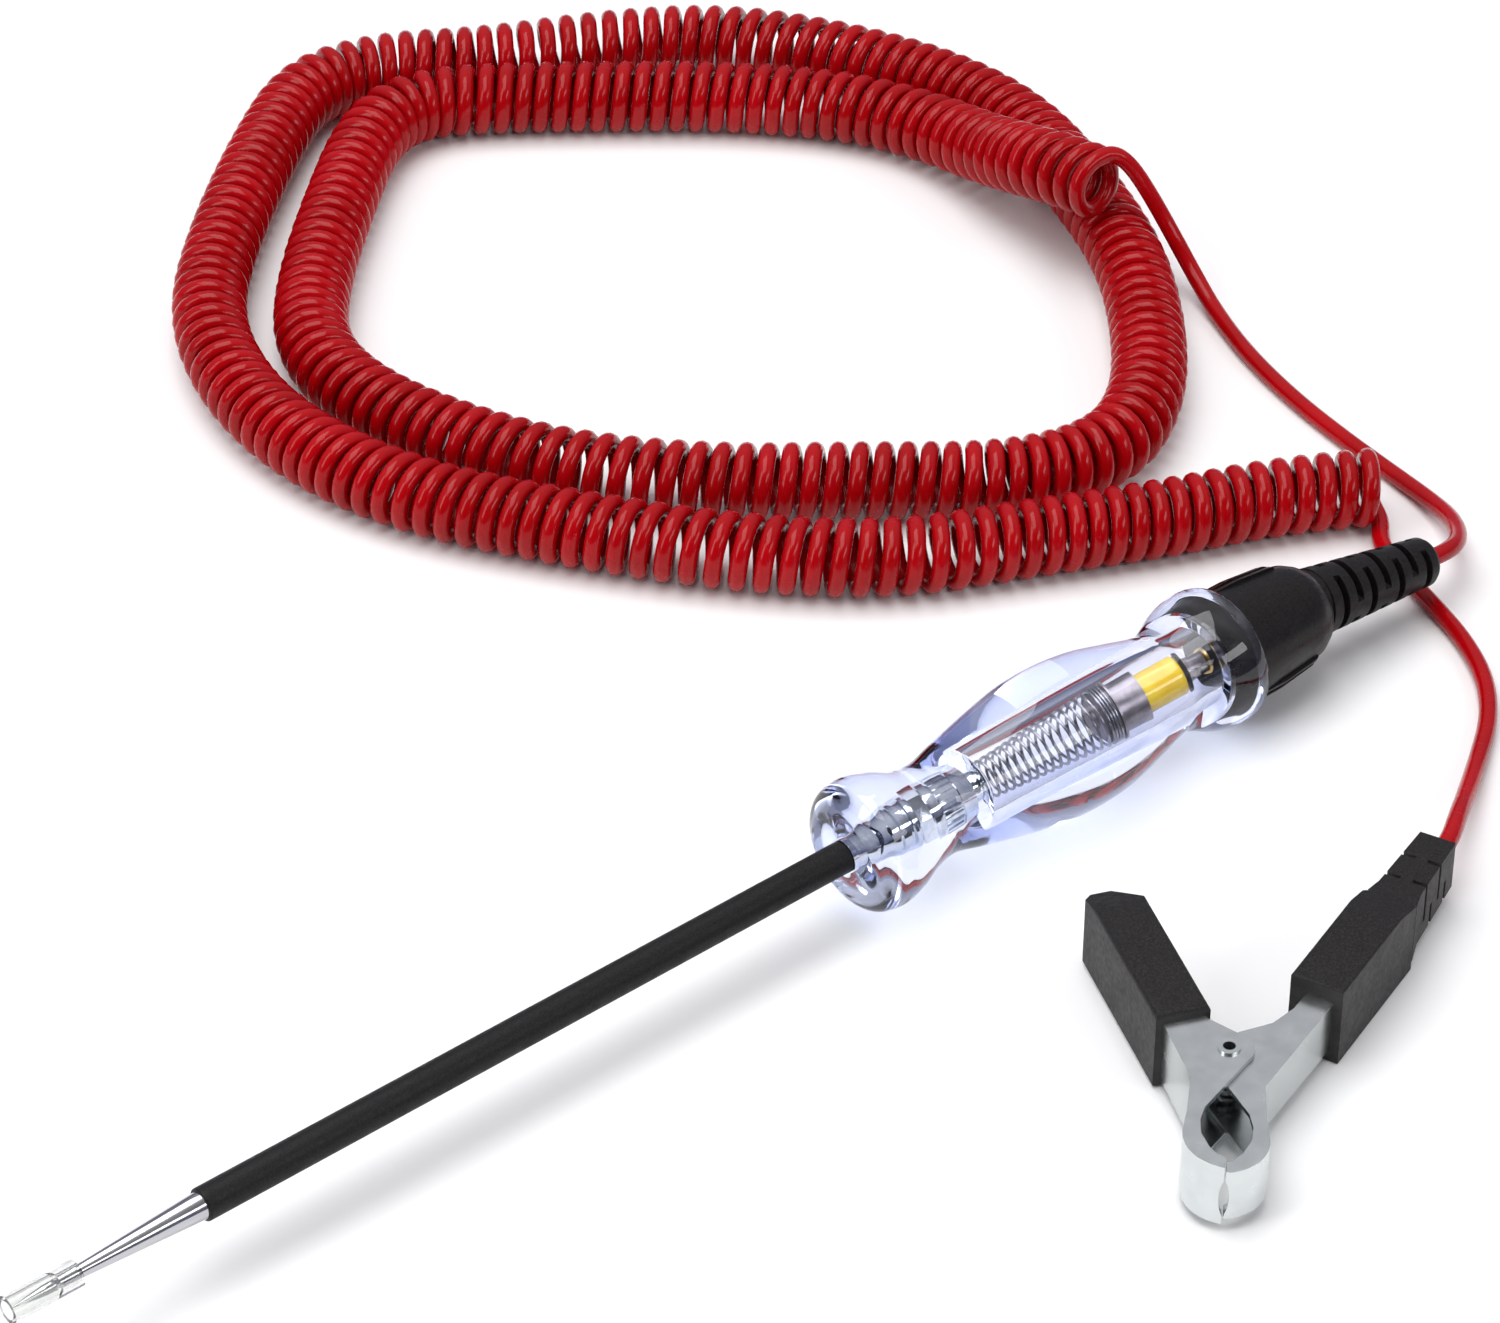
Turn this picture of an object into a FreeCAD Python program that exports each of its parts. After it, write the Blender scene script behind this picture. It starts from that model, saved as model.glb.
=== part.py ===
import FreeCAD, Part
import math
import os
from FreeCAD import Vector, Rotation, Placement

# Circuit test light: a clear-handled probe with a lamp inside, on a curly lead that ends in a spring clip.
# Millimetres. +X runs from the probe's point to the lead, +Z is up, and the handle lies on its belly.

# Handle
BELLY_R = 14.9
AXIS_Z = BELLY_R
NOSE_R = 13.2
FLANGE_R = 14.1
HANDLE_FRONT_X = 15.6
HANDLE_REAR_X = 113.5
BORE_R = 5.4
BORE_FRONT_X = 47.0
THREAD_BORE_R = 8.0
THREAD_BORE_X = 107.7

# Probe, sleeve and tip cover
PROBE_TIP_X = -169.3
PROBE_R = 2.6
SHANK_R = 2.1
SHANK_REAR_X = 40.0
SLEEVE_R = 3.15
SLEEVE_FRONT_X = -130.5
SLEEVE_REAR_X = 15.5
COVER_FRONT_X = -170.0
COVER_REAR_X = -156.0
COVER_R = 2.5

# Metal insert moulded in the nose
INSERT_R = 3.4
INSERT_STUB_R = 2.0
INSERT_CAVITY_R = 3.45
HEX_FRONT_X = 28.4
HEX_REAR_X = 31.6
KNURL_FRONT_X = 35.4
KNURL_REAR_X = 41.0
KNURL_RIBS = 20

# Lamp and its spring
LAMP_BASE_R = 4.3
LAMP_BASE_FRONT_X = 75.6
LAMP_BASE_REAR_X = 86.4
GLASS_R = 3.4
GLASS_REAR_X = 98.6
LAMP_RING_T = 1.7
LAMP_CAP_R = 2.2
LAMP_CAP_REAR_X = 107.8
SPRING_WIRE_R = 0.3
SPRING_FRONT_R = 3.3
SPRING_REAR_R = 4.85
SPRING_OPEN_TURNS = 16
SPRING_CLOSE_TURNS = 4
LAMP_FLANGE_X = 79.3
LAMP_FLANGE_R = 5.15

# Screw cap, rear contact and strain relief
THREAD_R = 7.93
THREAD_FRONT_X = 108.1
CAP_FRONT_R = 12.0
CAP_REAR_R = 10.4
CAP_RIB_END_X = 131.5
CAP_REAR_X = 137.6
CAP_HOLE_R = 7.0
CAP_RIBS_PER_GROUP = 5
BOOT_BEND_X = 138.3
BOOT_END = Vector(170.0, -1.5, 11.4)
BOOT_END_R = 5.0
BOOT_SLOTS = 7

# Lead: wire diameter, and outer diameter of its curly stretch
CORD_D = 3.75
COIL_D = 16.5

# Clip: place of its rivet, and direction of its jaws
CLIP_PIVOT = Vector(31.5, -85.0, 0.0)
CLIP_ANGLE = 224.0
PLATE_T = 1.0
CLIP_LOW_Z = 2.0
CLIP_HIGH_Z = 15.0
CLIP_STEP = 1.1
RIVET_R = 1.6
RIVET_HOLE_R = 1.15
RIVET_HEAD_R = 2.1
GRIP_TOP_Z = 17.0
GRIP_WIDTH = 10.4
GRIP_SLOPE_LENGTH = 8.0
GRIP_SLOPE_DROP = 2.0
LEFT_ARM_ANGLE = 22.5
RIGHT_ARM_ANGLE = 25.5
RIGHT_GRIP_CORNER = (-19.0, 10.6)
RIGHT_GRIP_LENGTH = 31.5
LEFT_GRIP_CORNER = (-8.8, 3.5)
LEFT_GRIP_LENGTH = 38.0
CLIP_LEAD_Z = 8.5
CLIP_RELIEF_ANGLE = 20.5
CLIP_RELIEF_LENGTH = 22.0

CORD_Z = CORD_D / 2
COIL_Z = COIL_D / 2

# Route of the straight lead from the strain relief's mouth to the top of the coil's raised end
LEAD_HANDLE_ROUTE = [
    (170.0, -1.5, 11.4), (176.5, -1.81, 10.68), (184.6, 2.0, 8.2), (191.6, 10.0, 5.4), (196.0, 20.2, 2.8),
    (198.2, 32.6, CORD_Z), (199.8, 48.1, CORD_Z), (202.5, 65.9, CORD_Z), (207.3, 84.6, CORD_Z),
    (214.0, 101.4, CORD_Z), (217.2, 111.6, 5.5), (217.0, 119.6, 13.5), (214.8, 124.8, 22.0),
    (211.6, 128.0, 29.0), (207.5, 130.5, 31.4),
]

# Centreline of the curly stretch: its first end lies on top of its own right-hand side
COIL_ROUTE = [
    (205.5, 130.0, 24.9), (205.1, 141.0, 23.6), (206.5, 155.0, 19.2), (211.0, 173.0, 12.4),
    (212.0, 192.0, 8.9), (205.5, 211.0, COIL_Z), (187.5, 233.0, COIL_Z), (164.5, 252.5, COIL_Z),
    (145.5, 268.0, COIL_Z), (129.5, 278.0, COIL_Z), (113.5, 274.0, COIL_Z), (89.5, 253.5, COIL_Z),
    (66.5, 232.0, COIL_Z), (51.0, 213.0, COIL_Z), (46.0, 192.0, COIL_Z), (50.0, 168.0, COIL_Z),
    (61.5, 141.5, COIL_Z), (81.5, 117.0, COIL_Z), (106.5, 96.5, COIL_Z), (130.0, 76.5, COIL_Z),
    (152.5, 70.5, COIL_Z), (172.5, 80.0, COIL_Z), (191.5, 99.5, COIL_Z), (208.5, 123.0, COIL_Z),
    (220.5, 150.5, COIL_Z), (229.5, 177.0, COIL_Z), (229.5, 202.0, COIL_Z), (219.5, 230.0, COIL_Z),
    (203.5, 255.0, COIL_Z), (180.5, 270.5, COIL_Z), (153.5, 283.0, COIL_Z), (134.5, 296.5, COIL_Z),
    (114.5, 300.0, COIL_Z), (91.5, 284.0, COIL_Z), (63.5, 260.5, COIL_Z), (41.5, 238.0, COIL_Z),
    (30.0, 214.0, COIL_Z), (25.5, 187.0, COIL_Z), (30.5, 156.0, COIL_Z), (48.5, 124.0, COIL_Z),
    (70.5, 93.0, COIL_Z), (92.5, 71.0, COIL_Z), (120.5, 58.0, COIL_Z), (145.5, 45.5, COIL_Z),
    (167.5, 37.0, COIL_Z), (185.5, 25.8, COIL_Z),
]

# Route of the straight lead from the coil's other end, under the strain relief, to the clip
LEAD_CLIP_ROUTE = [
    (182.1, 22.4, CORD_Z), (178.1, 17.6, CORD_Z), (174.9, 10.4, CORD_Z), (172.3, 2.0, CORD_Z),
    (169.7, -7.0, CORD_Z), (166.1, -17.5, CORD_Z), (160.1, -28.5, CORD_Z), (151.0, -38.0, CORD_Z),
    (139.0, -46.0, 2.4), (127.5, -53.6, 4.8), (118.0, -59.8, 7.6), (111.0, -64.31, 8.5),
    (104.68, -66.67, 8.5),
]


# ---------------------------------------------------------------- helpers

def on_axis(x, r):
    """A point of a turned profile, at distance r above the tester's axis."""
    return Vector(x, 0, AXIS_Z + r)


def spun(face):
    """A closed profile turned a full circle about the tester's axis."""
    return face.revolve(Vector(0, 0, AXIS_Z), Vector(1, 0, 0), 360)


def turned(points):
    """A solid of revolution whose half-section is the polygon through (x, r) points."""
    corners = [on_axis(x, r) for x, r in points]
    return spun(Part.Face(Part.makePolygon(corners + corners[:1])))


def rod(x0, x1, r):
    """A cylinder on the tester's axis, from x0 to x1."""
    return Part.makeCylinder(r, x1 - x0, Vector(x0, 0, AXIS_Z), Vector(1, 0, 0))


def tube(x0, x1, outer, inner):
    """A pipe on the tester's axis, from x0 to x1."""
    return rod(x0, x1, outer).cut(rod(x0, x1, inner))


def around_axis(shape, degrees):
    """A copy turned about the tester's axis."""
    copy = shape.copy()
    copy.rotate(Vector(0, 0, AXIS_Z), Vector(1, 0, 0), degrees)
    return copy


def joined(shapes):
    """Touching shapes fused into one."""
    return shapes[0].fuse(shapes[1:]).removeSplitter()


def rounded_path(points):
    """Straight runs through the points, joined by tangent arcs as large as each pair of runs allows."""
    points = [Vector(*p) for p in points]
    edges, radii = [], []
    at = points[0]
    for before, corner, after in zip(points, points[1:], points[2:]):
        back = (before - corner).normalize()
        ahead = (after - corner).normalize()
        half_turn = (math.pi - back.getAngle(ahead)) / 2
        reach = 0.45 * min((before - corner).Length, (after - corner).Length)
        radius = reach / math.tan(half_turn)
        start = corner + back * reach
        end = corner + ahead * reach
        bisector = (back + ahead).normalize()
        middle = corner + bisector * (radius / math.cos(half_turn) - radius)
        edges.append(Part.LineSegment(at, start).toShape())
        edges.append(Part.Arc(start, middle, end).toShape())
        radii.append(radius)
        at = end
    edges.append(Part.LineSegment(at, points[-1]).toShape())
    return Part.Wire(edges), radii


def swept_cord(name, points, diameter):
    """A round solid along a rounded path. Prints its length, its bend radii and a check on its volume."""
    path, radii = rounded_path(points)
    first = Vector(*points[0])
    along = (Vector(*points[1]) - first).normalize()
    section = Part.Wire(Part.makeCircle(diameter / 2, first, along))
    solid = path.makePipeShell([section], True, False)
    expected = math.pi * diameter ** 2 / 4 * path.Length
    print("%s: length %.1f, smallest radius %.1f, volume ratio %.4f, valid %s"
          % (name, path.Length, min(radii), solid.Volume / expected, solid.isValid()))
    print("   radii " + " ".join("%.0f" % r for r in radii))
    return solid


def wire_spring(path, wire_r):
    """Round wire swept along a helical path."""
    edge = path.Edges[0]
    start = edge.valueAt(edge.FirstParameter)
    along = edge.tangentAt(edge.FirstParameter)
    section = Part.Wire(Part.makeCircle(wire_r, start, along))
    return path.makePipeShell([section], True, True)


# ---------------------------------------------------------------- probe

def probe_shaft():
    """Steel rod: needle point, short cone, long taper, plain length, then a thinner shank in the insert."""
    return turned([
        (PROBE_TIP_X, 0), (PROBE_TIP_X, 0.1), (-162.5, 0.98), (COVER_REAR_X, 1.22),
        (SLEEVE_FRONT_X, PROBE_R), (SLEEVE_REAR_X, PROBE_R), (SLEEVE_REAR_X, SHANK_R),
        (SHANK_REAR_X, SHANK_R), (SHANK_REAR_X, 0),
    ])


def probe_sleeve():
    """Insulating tube over the probe, from the bare taper to the insert."""
    body = tube(SLEEVE_FRONT_X, SLEEVE_REAR_X, SLEEVE_R, PROBE_R)
    rims = [e for e in body.Edges
            if e.BoundBox.XLength < 0.1 and abs(e.BoundBox.ZLength - 2 * SLEEVE_R) < 0.1]
    return body.makeFillet(0.35, rims)


def tip_cover():
    """Clear tube open at the front, with a slight flare, that grips the probe at its rear."""
    grip_r, clear_r, grip_x = 1.27, 1.8, COVER_REAR_X - 4.0
    return turned([
        (COVER_FRONT_X, clear_r), (COVER_FRONT_X, COVER_R + 0.2), (COVER_FRONT_X + 1.4, COVER_R),
        (COVER_REAR_X, COVER_R + 0.05), (COVER_REAR_X, grip_r), (grip_x, grip_r), (grip_x - 1.0, clear_r),
    ])


def insert_profile(hex_r, knurl_r):
    """Half-section of the insert's outside, front to rear, with its hexagon and knurl at the given radii."""
    points = [(SLEEVE_REAR_X, 3.45), (18.3, 3.45), (18.3, 2.7), (19.0, 2.7), (19.0, 3.0), (23.0, 3.35),
              (23.6, 3.35), (23.6, 2.7)]
    for x in (24.0, 25.4, 26.8):
        points += [(x, 2.7), (x + 0.25, 3.15), (x + 0.95, 3.15), (x + 1.2, 2.7)]
    return points + [
        (HEX_FRONT_X, 2.7), (HEX_FRONT_X, hex_r), (HEX_REAR_X, hex_r), (HEX_REAR_X, 2.9), (32.1, 2.9),
        (32.1, INSERT_R), (34.6, INSERT_R), (34.6, 2.9), (KNURL_FRONT_X, 2.9), (KNURL_FRONT_X, knurl_r),
        (KNURL_REAR_X, knurl_r), (KNURL_REAR_X, 3.0), (41.4, 3.0), (41.4, INSERT_R), (44.9, INSERT_R),
        (44.9, INSERT_STUB_R), (BORE_FRONT_X, INSERT_STUB_R),
    ]


def insert_hexagon():
    """Six-sided nut section of the insert."""
    corners = [Vector(HEX_FRONT_X, INSERT_R * math.sin(math.radians(60 * k)),
                      AXIS_Z + INSERT_R * math.cos(math.radians(60 * k))) for k in range(6)]
    face = Part.Face(Part.makePolygon(corners + corners[:1]))
    return face.extrude(Vector(HEX_REAR_X - HEX_FRONT_X, 0, 0))


def probe_insert():
    """Metal insert, bored for the probe's shank, with rings, a hexagon and a knurled band."""
    body = turned([(SLEEVE_REAR_X, SHANK_R)] + insert_profile(2.7, 3.1)
                  + [(BORE_FRONT_X, 0), (SHANK_REAR_X, 0), (SHANK_REAR_X, SHANK_R)])
    hexagon = insert_hexagon().cut(rod(HEX_FRONT_X, HEX_REAR_X, SHANK_R))
    rib_corner = Vector(KNURL_FRONT_X, -0.25, AXIS_Z + INSERT_R - 0.5)
    rib = Part.makeBox(KNURL_REAR_X - KNURL_FRONT_X, 0.5, 0.5, rib_corner)
    ribs = [around_axis(rib, 360.0 * k / KNURL_RIBS) for k in range(KNURL_RIBS)]
    return joined([body, hexagon] + ribs)


# ---------------------------------------------------------------- handle

# Outside of the handle as (x, r): nose flange, neck, belly, groove, rear flange
HANDLE_POINTS = [
    (HANDLE_FRONT_X, 8.6), (17.4, 11.6), (21.2, NOSE_R), (26.0, 12.5), (31.5, 10.4), (37.3, 9.4),
    (44.0, 10.75), (56.0, 13.3), (64.0, 14.6), (71.5, BELLY_R), (80.0, 14.2), (88.0, 12.4),
    (94.5, 10.8), (97.6, 10.2),
    (100.5, 11.2), (105.0, 13.2), (109.5, FLANGE_R), (112.5, 13.9), (HANDLE_REAR_X, 13.5),
]


def handle_shell():
    """Clear handle, moulded round the insert and bored from the rear for the spring, lamp and cap."""
    outside = Part.BSplineCurve()
    outside.interpolate([on_axis(x, r) for x, r in HANDLE_POINTS])
    front = on_axis(*HANDLE_POINTS[0])
    rear = on_axis(*HANDLE_POINTS[-1])
    axis_front = on_axis(HANDLE_FRONT_X, 0)
    axis_rear = on_axis(HANDLE_REAR_X, 0)
    edges = [outside.toShape(),
             Part.LineSegment(rear, axis_rear).toShape(),
             Part.LineSegment(axis_rear, axis_front).toShape(),
             Part.LineSegment(axis_front, front).toShape()]
    body = spun(Part.Face(Part.Wire(edges)))
    round_insert = insert_profile(INSERT_CAVITY_R, INSERT_CAVITY_R)
    body = body.cut(turned([(SLEEVE_REAR_X, 0)] + round_insert + [(BORE_FRONT_X, 0)]))
    body = body.cut(rod(BORE_FRONT_X, HANDLE_REAR_X, BORE_R))
    return body.cut(rod(THREAD_BORE_X, HANDLE_REAR_X, THREAD_BORE_R))


# ---------------------------------------------------------------- lamp

def contact_spring():
    """Wire spring that widens towards the lamp and ends in close turns round the lamp's base."""
    start_x = BORE_FRONT_X + SPRING_WIRE_R
    end_x = LAMP_FLANGE_X - SPRING_WIRE_R
    close_length = SPRING_CLOSE_TURNS * 2.3 * SPRING_WIRE_R
    turns = SPRING_OPEN_TURNS + SPRING_CLOSE_TURNS
    steps = 14
    points = []
    for i in range(turns * steps + 1):
        turn = i / steps
        share = min(turn / SPRING_OPEN_TURNS, 1.0)
        beyond = max(turn - SPRING_OPEN_TURNS, 0.0) / SPRING_CLOSE_TURNS
        x = start_x + (end_x - close_length - start_x) * share + close_length * beyond
        r = SPRING_FRONT_R + (SPRING_REAR_R - SPRING_FRONT_R) * share ** 0.8
        angle = 2 * math.pi * turn
        points.append(Vector(x, r * math.cos(angle), AXIS_Z + r * math.sin(angle)))
    curve = Part.BSplineCurve()
    curve.interpolate(points)
    return wire_spring(Part.Wire(curve.toShape()), SPRING_WIRE_R)


def lamp_base():
    """Lamp shell with the thin flange that the spring pushes on."""
    front, flange_rear = LAMP_BASE_FRONT_X, LAMP_FLANGE_X + 0.5
    return turned([
        (front, 1.8), (front, 3.6), (front + 0.7, LAMP_BASE_R), (LAMP_FLANGE_X, LAMP_BASE_R),
        (LAMP_FLANGE_X, LAMP_FLANGE_R), (flange_rear, LAMP_FLANGE_R), (flange_rear, LAMP_BASE_R),
        (LAMP_BASE_REAR_X, LAMP_BASE_R), (LAMP_BASE_REAR_X, 3.9), (front + 1.2, 3.9), (front + 1.2, 1.8),
    ])


def lamp_base_contact():
    """Solder button in the front of the lamp's base."""
    x = LAMP_BASE_FRONT_X
    return turned([(x - 0.9, 0), (x - 0.9, 0.9), (x - 0.4, 1.5), (x, 1.8), (x + 1.2, 1.8), (x + 1.2, 0)])


def lamp_glass():
    """Thin yellow envelope, seated in the base, closed with a dome at the rear."""
    front, rear, wall = LAMP_BASE_REAR_X - 3.0, GLASS_REAR_X, 0.5
    return turned([
        (front, GLASS_R - wall), (front, GLASS_R), (rear - 1.2, GLASS_R), (rear - 0.4, GLASS_R - 0.5),
        (rear, GLASS_R - 1.4), (rear, 0), (rear - wall, 0), (rear - wall, GLASS_R - 1.6),
        (rear - 1.3, GLASS_R - wall),
    ])


def lamp_mount():
    """Glass bead and two stiff wires that carry the filament."""
    x = LAMP_BASE_REAR_X - 3.0
    bead = rod(x, x + 2.0, 2.2)
    posts = [Part.makeCylinder(0.2, 7.0, Vector(x + 2.0, y, AXIS_Z), Vector(1, 0, 0)) for y in (-1.3, 1.3)]
    filament = Part.makeCylinder(0.15, 2.6, Vector(x + 8.8, -1.3, AXIS_Z), Vector(0, 1, 0))
    return joined([bead] + posts + [filament])


def lamp_ring():
    """Dark insulating washer between the envelope and the small end cap."""
    return rod(GLASS_REAR_X, GLASS_REAR_X + LAMP_RING_T, GLASS_R + 0.1)


def lamp_end_cap():
    """Small metal ferrule that meets the rear contact."""
    x = GLASS_REAR_X + LAMP_RING_T
    return turned([(x, 0), (x, LAMP_CAP_R), (LAMP_CAP_REAR_X - 0.4, LAMP_CAP_R),
                   (LAMP_CAP_REAR_X, LAMP_CAP_R - 0.4), (LAMP_CAP_REAR_X, 0)])


# ---------------------------------------------------------------- screw cap and strain relief

def end_cap():
    """Black screw cap: thread held in the handle, tapered body with two groups of ribs, round shoulder."""
    front = HANDLE_REAR_X + 0.1
    body = turned([
        (THREAD_FRONT_X, 6.2), (THREAD_FRONT_X, THREAD_R - 0.5), (THREAD_FRONT_X + 0.5, THREAD_R),
        (front, THREAD_R), (front, CAP_FRONT_R), (CAP_RIB_END_X, CAP_REAR_R), (CAP_RIB_END_X + 2.4, 9.9),
        (CAP_RIB_END_X + 4.6, 8.8), (CAP_REAR_X, CAP_HOLE_R + 0.5), (CAP_REAR_X, CAP_HOLE_R),
        (134.6, CAP_HOLE_R), (134.6, 8.0), (front + 3.0, 8.0), (front + 1.0, 6.2),
    ])
    rib_length = CAP_RIB_END_X - front - 0.8
    rib = Part.makeBox(rib_length, 0.9, 2.0, Vector(front + 0.4, -0.45, AXIS_Z + CAP_REAR_R - 0.4))
    trim = turned([(front, 0), (front, CAP_FRONT_R + 0.75), (CAP_RIB_END_X - 1.2, CAP_REAR_R + 0.75),
                   (CAP_RIB_END_X, CAP_REAR_R + 0.2), (CAP_RIB_END_X, 0)])
    ribs = []
    for side in (0, 180):
        for k in range(CAP_RIBS_PER_GROUP):
            turn = side - 46.0 + 11.5 * (k - (CAP_RIBS_PER_GROUP - 1) / 2)
            ribs.append(around_axis(rib, 90 - turn).common(trim))
    return joined([body] + ribs)


def rear_contact():
    """Contact button that presses on the lamp's end cap, with a stem to the terminal."""
    x = LAMP_CAP_REAR_X
    return turned([(x, 0), (x, 2.6), (x + 0.5, 3.0), (x + 2.0, 3.0), (x + 2.0, 1.7),
                   (x + 9.0, 1.7), (x + 9.0, 0)])


def contact_holder():
    """Insulating bush that centres the rear contact inside the cap's thread."""
    x = LAMP_CAP_REAR_X
    return turned([(THREAD_FRONT_X, 3.1), (THREAD_FRONT_X, 5.9), (x + 8.0, 5.9), (x + 8.0, 1.7),
                   (x + 2.1, 1.7), (x + 2.1, 3.1)])


def lead_terminal():
    """Crimped barrel that joins the lead to the contact's stem."""
    x = LAMP_CAP_REAR_X + 9.0
    return turned([(x, 0), (x, 2.3), (x + 6.5, 2.3), (x + 6.5, 1.6), (x + 3.0, 1.6), (x + 3.0, 0)])


def boot_frame():
    """Start and direction of the strain relief's drooping length."""
    start = Vector(BOOT_BEND_X, 0, AXIS_Z)
    return start, (BOOT_END - start)


def drooping(x0, x1, r0, r1):
    """A cone along the drooping strain relief, between two distances from its bend."""
    start, span = boot_frame()
    along = Vector(span).normalize()
    if r0 == r1:
        return Part.makeCylinder(r0, x1 - x0, start + along * x0, along)
    return Part.makeCone(r0, r1, x1 - x0, start + along * x0, along)


def strain_relief():
    """Rubber boot held in the cap: root flange, neck, and a tapered length with staggered slots."""
    start, span = boot_frame()
    length = span.Length
    root = turned([(127.5, 0), (127.5, 6.6), (131.2, 7.7), (134.3, 7.7), (134.3, 6.7),
                   (BOOT_BEND_X + 1.4, 6.7), (BOOT_BEND_X + 1.4, 0)])
    taper = drooping(0.4, length - 1.0, 7.1, BOOT_END_R + 0.1)
    lip = drooping(length - 1.0, length, BOOT_END_R + 0.1, BOOT_END_R - 0.5)
    body = joined([root, taper, lip])
    pitch = (length - 7.5) / (BOOT_SLOTS - 1)
    along = Vector(span).normalize()
    for k in range(BOOT_SLOTS):
        at = 3.0 + k * pitch
        ring = drooping(at, at + 1.7, 9.0, 9.0).cut(drooping(at - 0.1, at + 1.8, 3.6, 3.6))
        bridge = Part.makeBox(20, 3.8, 2.2, Vector(-10, -1.9, -0.2))
        turn = Rotation(Vector(0, 0, 1), 90.0 * (k % 2))
        bridge.Placement = Placement(start + along * at, Rotation(Vector(0, 0, 1), along).multiply(turn))
        body = body.cut(ring.cut(bridge))
    return body.cut(lead_in_relief())


def lead_in_relief():
    """The lead inside the strain relief: level to its bend, then along its drooping length to the mouth."""
    start, span = boot_frame()
    inner = rod(127.4, BOOT_BEND_X, CORD_D / 2)
    ball = Part.makeSphere(CORD_D / 2, start)
    return joined([inner, ball, drooping(0, span.Length, CORD_D / 2, CORD_D / 2)])


def lead_tail():
    """The lead's own last stretch, from its stripped end in the terminal to the strain relief's mouth."""
    return joined([rod(LAMP_CAP_REAR_X + 12.0, 127.4, 1.6), lead_in_relief()])


# ---------------------------------------------------------------- clip

def placed_clip(shape):
    """From the clip's own axes (X to the jaws, pivot at the origin) to the part's frame."""
    copy = shape.copy()
    copy.Placement = Placement(CLIP_PIVOT, Rotation(Vector(0, 0, 1), CLIP_ANGLE)).multiply(copy.Placement)
    return copy


def chain(items, z, side):
    """Edges through points; an item with two points is an arc through the first to the second."""
    def at(p):
        return Vector(p[0], side * p[1], z)
    edges = []
    here = at(items[0])
    for item in items[1:]:
        if len(item) == 4:
            edges.append(Part.Arc(here, at(item[:2]), at(item[2:])).toShape())
            here = at(item[2:])
        else:
            edges.append(Part.LineSegment(here, at(item)).toShape())
            here = at(item)
    return edges


def prism(items, z0, z1, side):
    """A closed outline raised from z0 to z1. side is 1, or -1 for the mirrored jaw."""
    return Part.Face(Part.Wire(chain(items + [items[0]], z0, side))).extrude(Vector(0, 0, z1 - z0))


# The head's outline is shared: the left jaw mirrors it. Each jaw has its own arm.
HEAD_OUTER = [(8.5, 6.6), (17.0, 7.0), (22.0, 7.6), (28.7, 5.6, 31.8, 0.12)]
HEAD_INNER = [(29.0, 0.12), (28.2, 1.5), (26.4, 2.9), (23.0, 4.4), (19.6, 4.6), (16.2, 3.9), (2.9, -3.5),
              (-0.6, -4.5, -4.1, -1.6)]
HEAD_WEB = [(30.8, 0.12), (28.0, 4.8, 21.9, 6.6), (17.0, 6.0), (8.6, 5.5)]
ARM_OUTER = {1: [(-36.0, 28.2), (-10.9, 16.3)], -1: [(-36.0, 24.5), (-3.5, 11.1)]}
ARM_WEB = {1: [(-11.3, 15.2), (-36.0, 27.1)], -1: [(-3.8, 10.1), (-36.0, 23.4)]}
ARM_INNER = {1: [(-8.8, 7.6), (-13.3, 11.4), (-36.0, 22.2)], -1: [(-7.7, 4.0), (-36.0, 15.7)]}


def clip_jaw(side, inset, hole_r):
    """A lever of folded sheet steel: two side plates and the web that joins their outer edges."""
    low, high = CLIP_LOW_Z + inset, CLIP_HIGH_Z - inset
    outline = ARM_OUTER[side] + HEAD_OUTER + HEAD_INNER + ARM_INNER[side]
    plates = [prism(outline, low, low + PLATE_T, side), prism(outline, high - PLATE_T, high, side)]
    web = prism(ARM_OUTER[side] + HEAD_OUTER + HEAD_WEB + ARM_WEB[side], low, high, side)
    jaw = joined(plates + [web])
    mid = (CLIP_LOW_Z + CLIP_HIGH_Z) / 2
    gap = Part.makeCylinder(11.0, 8.0, Vector(26.5, -side * (11.0 - 0.9), mid - 0.6), Vector(1, 0, 0))
    jaw = jaw.cut(gap)
    return jaw.cut(Part.makeCylinder(hole_r, 30, Vector(0, 0, -5)))


def clip_rivet():
    """Hollow rivet with rolled heads outside the outer plates."""
    low, high = CLIP_LOW_Z, CLIP_HIGH_Z
    shank = Part.makeCylinder(RIVET_R, high - low + 0.8, Vector(0, 0, low - 0.4))
    heads = [Part.makeCylinder(RIVET_HEAD_R, 0.4, Vector(0, 0, z)) for z in (low - 0.45, high + 0.05)]
    body = joined([shank] + heads)
    return body.cut(Part.makeCylinder(RIVET_HOLE_R, 30, Vector(0, 0, -5)))


def clip_spring():
    """Torsion spring round the rivet, with a straight leg out to the web of each lever."""
    wire_r, mean_r, turns = 0.6, 2.7, 4
    low = CLIP_LOW_Z + CLIP_STEP + PLATE_T + wire_r + 0.3
    high = CLIP_HIGH_Z - CLIP_STEP - PLATE_T - wire_r - 0.3
    leaving = math.radians(35)
    total = 2 * math.pi * turns + 2 * leaving
    steps = 60
    points = []
    for i in range(steps + 1):
        angle = leaving - total * i / steps
        z = low + (high - low) * i / steps
        points.append(Vector(mean_r * math.cos(angle), mean_r * math.sin(angle), z))
    curve = Part.BSplineCurve()
    curve.interpolate(points)
    coil = wire_spring(Part.Wire(curve.toShape()), wire_r)
    pieces = [coil]
    for at, side, leg in ((points[0], 1, 11.8), (points[-1], -1, 9.2)):
        direction = Vector(-math.sin(leaving), side * math.cos(leaving), 0)
        pieces.append(Part.makeCylinder(wire_r, leg, at, direction))
        pieces.append(Part.makeSphere(wire_r, at))
    return joined(pieces)


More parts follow.
